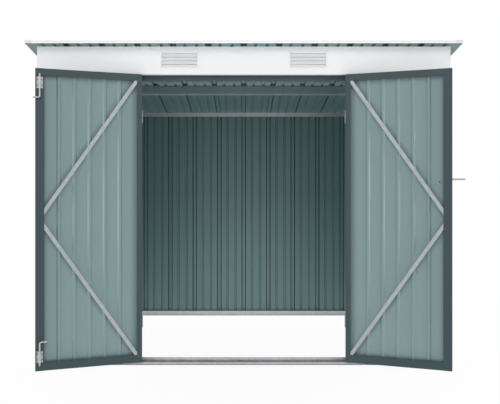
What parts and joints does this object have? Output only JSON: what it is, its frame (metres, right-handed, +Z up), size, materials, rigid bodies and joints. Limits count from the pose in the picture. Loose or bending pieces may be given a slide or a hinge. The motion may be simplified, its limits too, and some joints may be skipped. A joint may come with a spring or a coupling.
{
  "type": "metal storage shed",
  "caption": "Hollow pent-roof metal shed of ribbed sheet walls in folded rails, with a louvred fascia and a pair of braced doors that swing out, with door bolts and a sliding latch.",
  "frame": {"origin": "under the middle of the front base rail, at the doorway's threshold on the ground", "axes": "+X to the right along the front, +Y from the front to the back, +Z up"},
  "size_m": [2.4428, 1.7081, 1.8256],
  "materials": {
    "sheet": "satin sage grey coat on ribbed steel sheet",
    "frame": "satin slate grey paint on folded steel",
    "zinc": "dull galvanised steel",
    "trim": "satin white paint on folded steel"
  },
  "bodies": {
    "shed": {"base_rail_front": "zinc", "base_rail_back": "zinc", "base_rail_left": "zinc", "base_rail_right": "zinc", "corner_post_front_left": "frame", "corner_post_front_right": "frame", "corner_post_back_left": "frame", "corner_post_back_right": "frame", "door_jamb_left": "frame", "door_jamb_right": "frame", "door_header": "frame", "front_panel_left": "sheet", "front_panel_right": "sheet", "side_wall_left": "sheet", "side_wall_right": "sheet", "back_wall": "sheet", "fascia": "trim", "vent_left": "trim", "vent_right": "trim", "top_rail_left": "zinc", "top_rail_right": "zinc", "top_rail_back": "zinc", "roof_beam": "sheet", "roof_sheet": "sheet", "roof_trim_front": "trim", "roof_trim_back": "trim", "roof_trim_sides": "trim", "roof_corner_caps": "trim", "jamb_hinges_left": "zinc", "jamb_hinges_right": "zinc"},
    "left_door": {"left_door_stiles": "frame", "left_door_rails": "frame", "left_door_panel": "sheet", "left_door_braces": "zinc", "left_door_hinges": "zinc", "bolt_housings": "zinc", "latch_keeper": "zinc"},
    "right_door": {"right_door_stiles": "frame", "right_door_rails": "frame", "right_door_panel": "sheet", "right_door_braces": "zinc", "right_door_hinges": "zinc", "latch_housing": "zinc"},
    "upper_bolt": {"upper_bolt": "zinc"},
    "lower_bolt": {"lower_bolt": "zinc"},
    "latch_bolt": {"latch_bolt": "zinc"}
  },
  "joints": [
    {"name": "left_door_swing", "type": "hinge", "parent": "shed", "child": "left_door", "pos_m": [-0.574, -0.02, 0], "axis": [0, 0, 1], "range_deg": [-8, 161.7]},
    {"name": "right_door_swing", "type": "hinge", "parent": "shed", "child": "right_door", "pos_m": [0.574, -0.02, 0], "axis": [0, 0, -1], "range_deg": [-8, 161.7]},
    {"name": "upper_bolt_slide", "type": "slide", "parent": "left_door", "child": "upper_bolt", "axis": [0, 0, 1], "range_m": [0, 0.028]},
    {"name": "lower_bolt_slide", "type": "slide", "parent": "left_door", "child": "lower_bolt", "axis": [0, 0, -1], "range_m": [0, 0.028]},
    {"name": "latch_slide", "type": "slide", "parent": "right_door", "child": "latch_bolt", "axis": [0.9494, -0.314, 0], "range_m": [-0.065, 0]}
  ]
}
